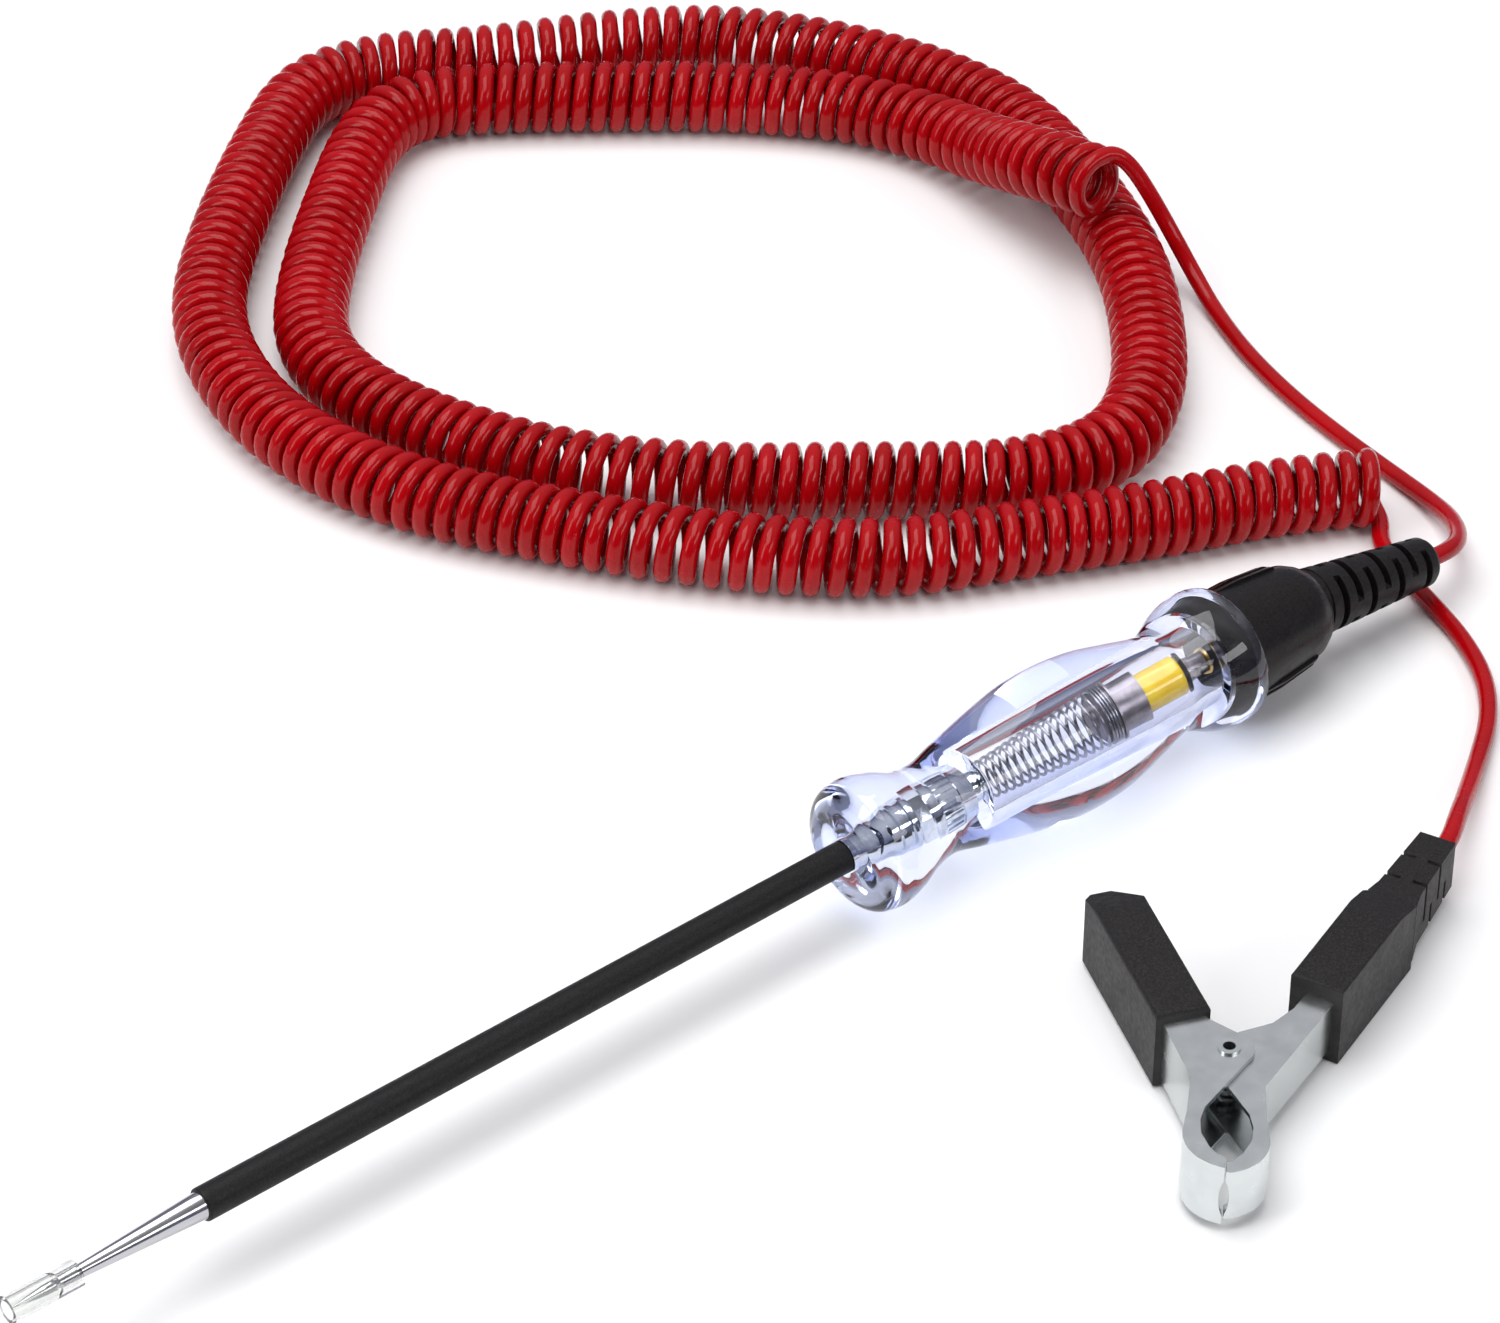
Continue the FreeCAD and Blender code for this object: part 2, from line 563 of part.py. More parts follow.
def grip_block(corner, degrees, length, bevel, round_r):
    """A block laid back along a lever, with rounded edges, a bevelled far end and a top that slopes to it."""
    width = GRIP_WIDTH
    outline = [Vector(0, 0, 0), Vector(-length + bevel, 0, 0), Vector(-length, bevel * 1.1, 0),
               Vector(-length, width - bevel * 0.35, 0), Vector(-length + bevel * 0.35, width, 0),
               Vector(0, width, 0)]
    block = Part.Face(Part.makePolygon(outline + outline[:1])).extrude(Vector(0, 0, GRIP_TOP_Z))
    long_edges = [e for e in block.Edges if e.BoundBox.ZLength < 0.01]
    block = block.makeFillet(round_r, long_edges)
    slope = [Vector(-length + GRIP_SLOPE_LENGTH, 0, GRIP_TOP_Z), Vector(-length, 0, GRIP_TOP_Z + 1),
             Vector(-length, 0, GRIP_TOP_Z - GRIP_SLOPE_DROP)]
    wedge = Part.Face(Part.makePolygon(slope + slope[:1])).extrude(Vector(0, width, 0))
    block = block.cut(wedge)
    block.Placement = Placement(Vector(corner[0], corner[1], 0), Rotation(Vector(0, 0, 1), -degrees))
    return block


def right_grip_end():
    """Middle of the right grip's far end, in the part's frame, at the height of the lead."""
    turn = Rotation(Vector(0, 0, 1), -RIGHT_ARM_ANGLE)
    corner = Vector(RIGHT_GRIP_CORNER[0], RIGHT_GRIP_CORNER[1], CLIP_LEAD_Z)
    local = corner + turn.multVec(Vector(-RIGHT_GRIP_LENGTH, GRIP_WIDTH / 2, 0))
    return CLIP_PIVOT + Rotation(Vector(0, 0, 1), CLIP_ANGLE).multVec(local)


def clip_lead_bore():
    """The lead's straight run inside the relief and the right grip, up to its crimp."""
    turn = Rotation(Vector(0, 0, 1), CLIP_RELIEF_ANGLE)
    along = turn.multVec(Vector(1, 0, 0))
    start = right_grip_end() - along * 9.6
    return Part.makeCylinder(CORD_D / 2, 9.6 + CLIP_RELIEF_LENGTH, start, along)


def clip_grip_right():
    """Rubber grip over the right lever, which also holds the lead."""
    block = grip_block(RIGHT_GRIP_CORNER, RIGHT_ARM_ANGLE, RIGHT_GRIP_LENGTH, 1.5, 0.4)
    pocket = prism(ARM_OUTER[1] + ARM_INNER[1][1:], CLIP_LOW_Z + CLIP_STEP, CLIP_HIGH_Z - CLIP_STEP, 1)
    grip = placed_clip(block.cut(pocket))
    return grip.cut(clip_lead_bore()).cut(clip_wire_crimp())


def clip_grip_left():
    """Rubber grip over the left lever."""
    block = grip_block(LEFT_GRIP_CORNER, LEFT_ARM_ANGLE, LEFT_GRIP_LENGTH, 4.4, 1.2)
    grip = block.cut(prism(ARM_OUTER[-1] + ARM_INNER[-1], CLIP_LOW_Z, CLIP_HIGH_Z, 1))
    return placed_clip(grip.mirror(Vector(0, 0, 0), Vector(0, 1, 0)))


def relief_frame(shape):
    """From the relief's own axes (X along the lead, origin at the grip's end) to the part's frame."""
    copy = shape.copy()
    copy.Placement = Placement(right_grip_end(), Rotation(Vector(0, 0, 1), CLIP_RELIEF_ANGLE))
    return copy


def box_section(x, half_width, low, high):
    """A rectangle across the lead, as a wire."""
    corners = [Vector(x, -half_width, low), Vector(x, half_width, low), Vector(x, half_width, high),
               Vector(x, -half_width, high)]
    return Part.makePolygon(corners + corners[:1])


def clip_strain_relief():
    """Flat-sided rubber relief behind the right grip, with staggered slots down both sides."""
    low, high = 2.4 - CLIP_LEAD_Z, 14.4 - CLIP_LEAD_Z
    sections = [box_section(0.3, 4.9, -CLIP_LEAD_Z + 1.2, GRIP_TOP_Z - CLIP_LEAD_Z - 2.4),
                box_section(4.0, 4.2, low, high)]
    root = Part.makeLoft(sections, True, True)
    length = CLIP_RELIEF_LENGTH
    body = Part.makeLoft([box_section(4.0, 4.2, low, high), box_section(length, 3.6, low + 0.8, high - 0.8)],
                         True, True)
    relief = joined([root, body])
    core = Part.makeCylinder(CORD_D / 2 + 0.8, length + 2, Vector(-1, 0, 0), Vector(1, 0, 0))
    for side in (1, -1):
        for x in (6.4, 13.6):
            over = Part.makeBox(1.0, 4.0, 9.5, Vector(x, 1.2, -2.6))
            under = Part.makeBox(1.0, 3.0, 6.0, Vector(x + 3.5, 2.2, -7.0))
            for slot in (over, under):
                cutter = slot.cut(core)
                if side < 0:
                    cutter = cutter.mirror(Vector(0, 0, 0), Vector(0, 1, 0))
                relief = relief.cut(cutter)
    return relief_frame(relief).cut(clip_lead_bore())


def clip_lead_tail():
    """The lead itself inside the relief and the right grip."""
    return clip_lead_bore()


def clip_wire_crimp():
    """Metal barrel on the lead's bared end, inside the right lever's channel."""
    along = Rotation(Vector(0, 0, 1), CLIP_RELIEF_ANGLE).multVec(Vector(1, 0, 0))
    start = right_grip_end() - along * 17.0
    return Part.makeCylinder(1.5, 7.4, start, along)


# ---------------------------------------------------------------- build

def parts():
    """Every sub-part by node name."""
    made = {
        "probe_shaft": probe_shaft(),
        "probe_sleeve": probe_sleeve(),
        "tip_cover": tip_cover(),
        "probe_insert": probe_insert(),
        "handle_shell": handle_shell(),
        "contact_spring": contact_spring(),
        "lamp_base": lamp_base(),
        "lamp_base_contact": lamp_base_contact(),
        "lamp_glass": lamp_glass(),
        "lamp_mount": lamp_mount(),
        "lamp_ring": lamp_ring(),
        "lamp_end_cap": lamp_end_cap(),
        "end_cap": end_cap(),
        "rear_contact": rear_contact(),
        "contact_holder": contact_holder(),
        "lead_terminal": lead_terminal(),
        "lead_tail": lead_tail(),
        "strain_relief": strain_relief(),
        "cord_lead_handle": swept_cord("cord_lead_handle", LEAD_HANDLE_ROUTE, CORD_D),
        "cord_coil": swept_cord("cord_coil", COIL_ROUTE, COIL_D),
        "cord_lead_clip": swept_cord("cord_lead_clip", LEAD_CLIP_ROUTE, CORD_D),
        "clip_jaw_right": placed_clip(clip_jaw(1, CLIP_STEP, RIVET_R)),
        "clip_jaw_left": placed_clip(clip_jaw(-1, 0, RIVET_R + 0.05)),
        "clip_rivet": placed_clip(clip_rivet()),
        "clip_spring": placed_clip(clip_spring()),
        "clip_grip_right": clip_grip_right(),
        "clip_grip_left": clip_grip_left(),
        "clip_strain_relief": clip_strain_relief(),
        "clip_lead_tail": clip_lead_tail(),
        "clip_wire_crimp": clip_wire_crimp(),
    }
    return made


def main():
    os.makedirs("parts", exist_ok=True)
    for name, shape in parts().items():
        if not shape.isValid() or len(shape.Solids) < 1:
            print("CHECK", name, "valid", shape.isValid(), "solids", len(shape.Solids))
        shape.exportStep("parts/%s.step" % name)


main()
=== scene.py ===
import math
import bmesh
import bpy
import numpy as np
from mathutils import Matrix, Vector


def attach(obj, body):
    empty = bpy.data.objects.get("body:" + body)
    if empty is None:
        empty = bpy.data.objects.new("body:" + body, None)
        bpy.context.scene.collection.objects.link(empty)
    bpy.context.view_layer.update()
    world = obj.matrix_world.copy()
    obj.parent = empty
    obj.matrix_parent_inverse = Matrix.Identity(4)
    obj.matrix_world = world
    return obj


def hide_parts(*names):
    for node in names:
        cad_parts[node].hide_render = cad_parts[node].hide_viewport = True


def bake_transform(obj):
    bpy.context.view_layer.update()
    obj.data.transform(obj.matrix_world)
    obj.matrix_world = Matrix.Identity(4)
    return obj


# Circuit test light, in metres.
# +X runs from the probe's point to the lead, +Z is up, and the floor is Z = 0.

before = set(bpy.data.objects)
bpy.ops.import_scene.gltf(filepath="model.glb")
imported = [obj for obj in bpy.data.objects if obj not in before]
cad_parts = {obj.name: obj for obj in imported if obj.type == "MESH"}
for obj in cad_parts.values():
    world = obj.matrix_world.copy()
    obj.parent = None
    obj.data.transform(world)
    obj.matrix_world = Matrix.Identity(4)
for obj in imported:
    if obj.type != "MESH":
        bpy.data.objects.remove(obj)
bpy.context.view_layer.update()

# Height of the tester's axis over the floor
AXIS_Z = 0.0149

# Lead
CORD_D = 0.00375
CORD_Z = CORD_D / 2
COIL_D = 0.0165
COIL_Z = COIL_D / 2
TURN_R = (COIL_D - CORD_D) / 2
TURN_PITCH = 0.0047
SAMPLES_PER_TURN = 24

# Slow changes of the pitch along the coil: share of the pitch, distance for one radian, and phase
PITCH_WAVES = [(0.05, 0.027, 0.0), (0.03, 0.0097, 1.0)]

# Step along the coil's centreline, and how far to each side its direction is read
COIL_STEP = 0.0002
DIRECTION_REACH = 0.002

# Distance from the coil's end at which the straight lead takes the turn's own direction
COIL_LEAD_IN = 0.003

# Route of the straight lead from the strain relief to the top of the coil's raised end
LEAD_HANDLE_ROUTE = [
    (0.17, -0.0015, 0.0114), (0.1765, -0.00181, 0.01068), (0.1846, 0.002, 0.0082), (0.1916, 0.01, 0.0054),
    (0.196, 0.0202, 0.0028), (0.1982, 0.0326, CORD_Z), (0.1998, 0.0481, CORD_Z), (0.2025, 0.0659, CORD_Z),
    (0.2073, 0.0846, CORD_Z), (0.214, 0.1014, CORD_Z), (0.2172, 0.1116, 0.0055), (0.217, 0.1196, 0.0135),
    (0.2148, 0.1248, 0.022), (0.2116, 0.128, 0.029), (0.2075, 0.1305, 0.0314),
]

# Centreline of the curly stretch, from its raised end to the end on the floor
COIL_ROUTE = [
    (0.2055, 0.13, 0.0249), (0.2051, 0.141, 0.0236), (0.2065, 0.155, 0.0192), (0.211, 0.173, 0.0124),
    (0.212, 0.192, 0.0089), (0.2055, 0.211, COIL_Z), (0.1875, 0.233, COIL_Z), (0.1645, 0.2525, COIL_Z),
    (0.1455, 0.268, COIL_Z), (0.1295, 0.278, COIL_Z), (0.1135, 0.274, COIL_Z), (0.0895, 0.2535, COIL_Z),
    (0.0665, 0.232, COIL_Z), (0.051, 0.213, COIL_Z), (0.046, 0.192, COIL_Z), (0.05, 0.168, COIL_Z),
    (0.0615, 0.1415, COIL_Z), (0.0815, 0.117, COIL_Z), (0.1065, 0.0965, COIL_Z), (0.13, 0.0765, COIL_Z),
    (0.1525, 0.0705, COIL_Z), (0.1725, 0.08, COIL_Z), (0.1915, 0.0995, COIL_Z), (0.2085, 0.123, COIL_Z),
    (0.2205, 0.1505, COIL_Z), (0.2295, 0.177, COIL_Z), (0.2295, 0.202, COIL_Z), (0.2195, 0.23, COIL_Z),
    (0.2035, 0.255, COIL_Z), (0.1805, 0.2705, COIL_Z), (0.1535, 0.283, COIL_Z), (0.1345, 0.2965, COIL_Z),
    (0.1145, 0.3, COIL_Z), (0.0915, 0.284, COIL_Z), (0.0635, 0.2605, COIL_Z), (0.0415, 0.238, COIL_Z),
    (0.03, 0.214, COIL_Z), (0.0255, 0.187, COIL_Z), (0.0305, 0.156, COIL_Z), (0.0485, 0.124, COIL_Z),
    (0.0705, 0.093, COIL_Z), (0.0925, 0.071, COIL_Z), (0.1205, 0.058, COIL_Z), (0.1455, 0.0455, COIL_Z),
    (0.1675, 0.037, COIL_Z), (0.1855, 0.0258, COIL_Z),
]

# Route of the straight lead from the coil to the clip
LEAD_CLIP_ROUTE = [
    (0.1821, 0.0224, CORD_Z), (0.1781, 0.0176, CORD_Z), (0.1749, 0.0104, CORD_Z), (0.1723, 0.002, CORD_Z),
    (0.1697, -0.007, CORD_Z), (0.1661, -0.0175, CORD_Z), (0.1601, -0.0285, CORD_Z), (0.151, -0.038, CORD_Z),
    (0.139, -0.046, 0.0024), (0.1275, -0.0536, 0.0048), (0.118, -0.0598, 0.0076), (0.111, -0.06431, 0.0085),
    (0.10468, -0.06667, 0.0085),
]

# The lead's end inside the clip's right grip
CLIP_LEAD_END = (0.07506, -0.07772, 0.0085)

# Handle: radius at points along the turned body
HANDLE_OUTLINE = [
    (0.0156, 0.0086), (0.0174, 0.0116), (0.0212, 0.0132), (0.026, 0.0125), (0.0315, 0.0104),
    (0.0373, 0.0094), (0.044, 0.01075), (0.056, 0.0133), (0.064, 0.0146), (0.0715, 0.0149),
    (0.08, 0.0142), (0.088, 0.0124), (0.0945, 0.0108), (0.0976, 0.0102), (0.1005, 0.0112),
    (0.105, 0.0132), (0.1095, 0.0141), (0.1125, 0.0139), (0.1135, 0.0135),
]
HANDLE_FRONT_X = HANDLE_OUTLINE[0][0]
HANDLE_REAR_X = HANDLE_OUTLINE[-1][0]
BORE_R = 0.0054
BORE_FRONT_X = 0.047
THREAD_BORE_X = 0.1077

# The thread's bore lies just inside the cap's thread, so that its black shows through the clear flange.
THREAD_BORE_R = 0.0079

# Front of the flange on the lamp's base, where the spring pushes
LAMP_FLANGE_X = 0.0793

# Contact spring: radii of the wire and of the first and last turns, and how fast the open turns widen
SPRING_WIRE_R = 0.0003
SPRING_FRONT_R = 0.0033
SPRING_REAR_R = 0.00485
SPRING_WIDENING = 0.8
SPRING_OPEN_TURNS = 16
SPRING_CLOSE_TURNS = 4
SPRING_CLOSE_PITCH = 2.3 * SPRING_WIRE_R
SPRING_CLEARANCE = 0.0001
SPRING_SAMPLES_PER_TURN = 28

# CAD nodes shown with rounded edges: node, body, slot, material and width of the rounding
ROUNDED_NODES = [
    ("clip_jaw_right", "lead_end", "zinc_steel", "zinc", 0.0004),
    ("clip_jaw_left", "clip_jaw", "zinc_steel", "zinc", 0.0004),
    ("clip_grip_right", "lead_end", "grip_rubber", "grip_vinyl", 0.0007),
    ("clip_grip_left", "clip_jaw", "grip_rubber", "grip_vinyl", 0.0007),
    ("clip_strain_relief", "lead_end", "grip_rubber", "grip_vinyl", 0.0005),
    ("end_cap", "end_cap", "black_plastic", "cap_moulding", 0.0003),
    ("strain_relief", "lead_end", "black_rubber", "boot_rubber", 0.0003),
]

# CAD nodes shown as they are, and the material of each
DRESSED_NODES = {
    "probe_sleeve": "black_tubing",
    "probe_shaft": "polished_probe",
    "probe_insert": "insert_plate",
    "tip_cover": "clear_sleeve",
    "lamp_base": "lamp_plate",
    "lamp_base_contact": "lamp_plate",
    "lamp_glass": "yellow_glass",
    "lamp_mount": "lamp_plate",
    "lamp_ring": "cap_moulding",
    "lamp_end_cap": "lamp_plate",
    "rear_contact": "brass",
    "contact_holder": "cap_moulding",
    "lead_terminal": "brass",
    "lead_tail": "red_vinyl",
    "clip_rivet": "zinc",
    "clip_spring": "steel_wire",
    "clip_wire_crimp": "brass",
}

# How CAD nodes are cleaned and rounded
MERGE_DISTANCE = 0.000005
FLAT_ANGLE = math.radians(1.0)
EDGE_ANGLE = math.radians(30)
EDGE_SEGMENTS = 3

# Camera: place, direction of view, and lens and sensor width in millimetres
CAMERA_PLACE = (-0.4873, -0.5595, 0.6163)
CAMERA_VIEW = (0.5235, 0.6100, -0.5948)
CAMERA_LENS = 124.8
CAMERA_SENSOR = 36
CAMERA_REACH = 10

# Room: its colours at the horizon and overhead, and the heights, from 0 to 1, that have them
HORIZON = (0.12, 0.13, 0.22)
OVERHEAD = (0.62, 0.62, 0.64)
ROOM_HEIGHTS = (0.05, 0.75)

# The room's dark side: its direction, how closely its edge and middle lie to that, and the light left there
DARK_SIDE = (-0.53, -0.60, 0.60)
DARK_CLOSENESS = (0.30, 0.92)
DARK_LIGHT = (1.0, 0.12)

TABLE_HALF = 6.0

# Noise mostly stays between these values.
NOISE_RANGE = (0.3, 0.7)


# ---------------------------------------------------------------- shader nodes

def colour_ramp(nodes, low, high, edges):
    """A ramp from low to high between two input values."""
    ramp = nodes.new("ShaderNodeValToRGB")
    elements = ramp.color_ramp.elements
    elements[0].position, elements[1].position = edges
    elements[0].color = (*low, 1)
    elements[1].color = (*high, 1)
    return ramp


def map_range(nodes, given, wanted):
    """A node that takes the given two values to the wanted two, and those between them in proportion."""
    spread = nodes.new("ShaderNodeMapRange")
    spread.inputs["From Min"].default_value, spread.inputs["From Max"].default_value = given
    spread.inputs["To Min"].default_value, spread.inputs["To Max"].default_value = wanted
    return spread


def new_material(name, colour, roughness, **sockets):
    """A Principled material. sockets are given with _ in place of spaces."""
    material = bpy.data.materials.new(name)
    material.use_nodes = True
    shader = material.node_tree.nodes["Principled BSDF"]
    shader.inputs["Base Color"].default_value = (*colour, 1)
    shader.inputs["Roughness"].default_value = roughness
    for socket, value in sockets.items():
        shader.inputs[socket.replace("_", " ")].default_value = value
    return material, shader


def noise(material, scale, detail=3.0, stretch=(1, 1, 1)):
    """A noise socket over the part's own coordinates. scale counts features per metre."""
    nodes, links = material.node_tree.nodes, material.node_tree.links
    place = nodes.new("ShaderNodeTexCoord")
    mapping = nodes.new("ShaderNodeMapping")
    mapping.inputs["Scale"].default_value = stretch
    texture = nodes.new("ShaderNodeTexNoise")
    texture.inputs["Scale"].default_value = scale
    texture.inputs["Detail"].default_value = detail
    links.new(place.outputs["Object"], mapping.inputs["Vector"])
    links.new(mapping.outputs["Vector"], texture.inputs["Vector"])
    return texture.outputs["Fac"]


def mottle(material, shader, source, low, high, edges=(0.35, 0.65)):
    """Base colour running from low to high as the source does."""
    nodes, links = material.node_tree.nodes, material.node_tree.links
    ramp = colour_ramp(nodes, low, high, edges)
    links.new(source, ramp.inputs["Fac"])
    links.new(ramp.outputs["Color"], shader.inputs["Base Color"])


def vary_roughness(material, shader, source, low, high):
    """Roughness running from low to high as the source does."""
    nodes, links = material.node_tree.nodes, material.node_tree.links
    spread = map_range(nodes, NOISE_RANGE, (low, high))
    links.new(source, spread.inputs["Value"])
    links.new(spread.outputs["Result"], shader.inputs["Roughness"])


def add_bump(material, shader, source, strength, depth):
    nodes, links = material.node_tree.nodes, material.node_tree.links
    bump = nodes.new("ShaderNodeBump")
    bump.inputs["Strength"].default_value = strength
    bump.inputs["Distance"].default_value = depth
    links.new(source, bump.inputs["Height"])
    links.new(bump.outputs["Normal"], shader.inputs["Normal"])


def let_lamps_through(material, tint):
    """Lamps shine through the clear piece: rays towards them meet a tinted transparent shader instead."""
    nodes, links = material.node_tree.nodes, material.node_tree.links
    clear = nodes.new("ShaderNodeBsdfTransparent")
    clear.inputs["Color"].default_value = (*tint, 1)
    path = nodes.new("ShaderNodeLightPath")
    mix = nodes.new("ShaderNodeMixShader")
    links.new(path.outputs["Is Shadow Ray"], mix.inputs["Fac"])
    links.new(nodes["Principled BSDF"].outputs["BSDF"], mix.inputs[1])
    links.new(clear.outputs["BSDF"], mix.inputs[2])
    links.new(mix.outputs["Shader"], nodes["Material Output"].inputs["Surface"])


# ---------------------------------------------------------------- camera, floor and lights

def make_camera():
    data = bpy.data.cameras.new("camera")
    data.lens = CAMERA_LENS
    data.sensor_width = CAMERA_SENSOR
    data.clip_end = CAMERA_REACH
    camera = bpy.data.objects.new("camera", data)
    camera.location = CAMERA_PLACE
    camera.rotation_euler = Vector(CAMERA_VIEW).to_track_quat("-Z", "Y").to_euler()
    bpy.context.scene.collection.objects.link(camera)
    bpy.context.scene.camera = camera


def make_floor():
    mesh = bpy.data.meshes.new("floor")
    corners = [(TABLE_HALF * x, TABLE_HALF * y, 0) for x, y in ((-1, -1), (1, -1), (1, 1), (-1, 1))]
    mesh.from_pydata(corners, [], [(0, 1, 2, 3)])
    floor = bpy.data.objects.new("floor", mesh)
    bpy.context.scene.collection.objects.link(floor)
    material, _ = new_material("floor", (0.90, 0.90, 0.90), 0.9, Specular_IOR_Level=0.1)
    mesh.materials.append(material)


def make_room():
    """The light of a room that is darker at the horizon than overhead, and dark on the near side."""
    world = bpy.data.worlds.new("studio")
    world.use_nodes = True
    nodes, links = world.node_tree.nodes, world.node_tree.links
    direction = nodes.new("ShaderNodeTexCoord")
    split = nodes.new("ShaderNodeSeparateXYZ")
    ramp = colour_ramp(nodes, HORIZON, OVERHEAD, ROOM_HEIGHTS)
    links.new(direction.outputs["Generated"], split.inputs["Vector"])
    links.new(split.outputs["Z"], ramp.inputs["Fac"])
    near = nodes.new("ShaderNodeVectorMath")
    near.operation = "DOT_PRODUCT"
    near.inputs[1].default_value = DARK_SIDE
    links.new(direction.outputs["Generated"], near.inputs[0])
    shade = map_range(nodes, DARK_CLOSENESS, DARK_LIGHT)
    shade.interpolation_type = "SMOOTHSTEP"
    links.new(near.outputs["Value"], shade.inputs["Value"])
    dim = nodes.new("ShaderNodeVectorMath")
    dim.operation = "SCALE"
    links.new(ramp.outputs["Color"], dim.inputs[0])
    links.new(shade.outputs["Result"], dim.inputs["Scale"])
    links.new(dim.outputs["Vector"], nodes["Background"].inputs["Color"])
    nodes["Background"].inputs["Strength"].default_value = 1.0
    bpy.context.scene.world = world
    bpy.context.scene.view_settings.view_transform = "Standard"


def make_light(name, place, target, size, power):
    data = bpy.data.lights.new(name, "AREA")
    data.shape = "RECTANGLE"
    data.size, data.size_y = size
    data.energy = power
    light = bpy.data.objects.new(name, data)
    light.location = place
    light.rotation_euler = (Vector(target) - Vector(place)).to_track_quat("-Z", "Y").to_euler()
    bpy.context.scene.collection.objects.link(light)


def make_lights():
    """White soft boxes over the table. Sizes are width and length, and power is in watts."""
    make_light("overhead", place=(-0.15, 0.2, 1.7), target=(0.05, 0.1, 0), size=(1.7, 1.2), power=25)
    make_light("left", place=(-1.2, 0.3, 0.9), target=(0.05, 0.1, 0), size=(0.5, 1.2), power=8)
    make_light("front", place=(0.4, -1.4, 1.0), target=(0.05, 0.0, 0), size=(1.2, 0.4), power=7)


# ---------------------------------------------------------------- materials

def red_vinyl():
    material, shader = new_material("red_vinyl", (0.36, 0.001, 0.003), 0.2, Coat_Weight=0.25,
                                    Coat_Roughness=0.04, Specular_IOR_Level=0.1)
    mottle(material, shader, noise(material, 60), (0.32, 0.0006, 0.002), (0.40, 0.001, 0.004))
    grain = noise(material, 900, detail=4)
    vary_roughness(material, shader, grain, 0.16, 0.30)
    add_bump(material, shader, grain, strength=0.05, depth=0.0001)
    return material


def clear_acetate():
    """Clear moulding with faint flow marks, and a violet tint that grows with depth."""
    material, shader = new_material("clear_acetate", (0.97, 0.97, 1.0), 0.02, Transmission_Weight=1.0,
                                    IOR=1.49, Specular_IOR_Level=0.5)
    flow = noise(material, 220, detail=2, stretch=(0.25, 1, 1))
    vary_roughness(material, shader, flow, 0.0, 0.03)
    add_bump(material, shader, flow, strength=0.05, depth=0.0002)
    let_lamps_through(material, (0.92, 0.94, 0.98))
    nodes, links = material.node_tree.nodes, material.node_tree.links
    tint = nodes.new("ShaderNodeVolumeAbsorption")
    tint.inputs["Color"].default_value = (0.62, 0.70, 0.96, 1)
    tint.inputs["Density"].default_value = 24
    links.new(tint.outputs["Volume"], nodes["Material Output"].inputs["Volume"])
    return material


def clear_sleeve():
    material, shader = new_material("clear_sleeve", (0.86, 0.87, 0.85), 0.08, Transmission_Weight=1.0,
                                    IOR=1.45)
    vary_roughness(material, shader, noise(material, 700), 0.04, 0.16)
    let_lamps_through(material, (0.85, 0.85, 0.84))
    return material


def black_tubing():
    material, shader = new_material("black_tubing", (0.007, 0.007, 0.007), 0.5, Specular_IOR_Level=0.2)
    grain = noise(material, 2600, detail=5)
    mottle(material, shader, grain, (0.005, 0.005, 0.005), (0.014, 0.013, 0.013))
    vary_roughness(material, shader, noise(material, 500), 0.40, 0.58)
    add_bump(material, shader, grain, strength=0.5, depth=0.00008)
    return material


def black_moulding(name, roughness, grain_scale, depth):
    material, shader = new_material(name, (0.008, 0.007, 0.007), roughness, Specular_IOR_Level=0.2)
    grain = noise(material, grain_scale, detail=5)
    mottle(material, shader, grain, (0.005, 0.004, 0.004), (0.012, 0.010, 0.010))
    vary_roughness(material, shader, noise(material, 300), roughness - 0.08, roughness + 0.1)
    add_bump(material, shader, grain, strength=0.3, depth=depth)
    return material


def grip_vinyl():
    """Black vinyl with pale specks. Its upright sides are painted paler than its top as painted side light,
    broken up by mottled scuffs.
    """
    material, shader = new_material("grip_vinyl", (0.02, 0.018, 0.018), 0.6, Specular_IOR_Level=0.25)
    nodes, links = material.node_tree.nodes, material.node_tree.links
    specks = noise(material, 3200, detail=2)
    mottle(material, shader, specks, (0.007, 0.006, 0.006), (0.026, 0.023, 0.023), edges=(0.42, 0.75))
    speckled = shader.inputs["Base Color"].links[0].from_socket
    # Painted side light: faces take a paler colour the more upright they stand, patched by scuff-like
    # noise.
    facing = nodes.new("ShaderNodeTexCoord")
    split = nodes.new("ShaderNodeSeparateXYZ")
    upright = map_range(nodes, (0.7, 0.2), (0.0, 0.75))
    painted_side_light_and_scuffs = nodes.new("ShaderNodeMath")
    painted_side_light_and_scuffs.operation = "MULTIPLY"
    mix = nodes.new("ShaderNodeMix")
    mix.data_type = "RGBA"
    mix.inputs["B"].default_value = (0.085, 0.080, 0.078, 1)
    links.new(facing.outputs["Normal"], split.inputs["Vector"])
    links.new(split.outputs["Z"], upright.inputs["Value"])
    links.new(upright.outputs["Result"], painted_side_light_and_scuffs.inputs[0])
    links.new(noise(material, 180, detail=6), painted_side_light_and_scuffs.inputs[1])
    links.new(painted_side_light_and_scuffs.outputs["Value"], mix.inputs["Factor"])
    links.new(speckled, mix.inputs["A"])
    links.new(mix.outputs["Result"], shader.inputs["Base Color"])
    vary_roughness(material, shader, noise(material, 900), 0.50, 0.68)
    add_bump(material, shader, specks, strength=0.4, depth=0.00010)
    return material


def plated(name, low, high, roughness, cloud_scale, stretch=(1, 1, 1)):
    """Bright metal whose colour and polish drift a little."""
    material, shader = new_material(name, high, roughness, Metallic=1.0)
    cloud = noise(material, cloud_scale, detail=5, stretch=stretch)
    mottle(material, shader, cloud, low, high)
    vary_roughness(material, shader, cloud, roughness * 0.9, roughness * 1.15)
    marks = noise(material, cloud_scale * 6, detail=4, stretch=stretch)
    add_bump(material, shader, marks, strength=0.15, depth=0.00004)
    return material


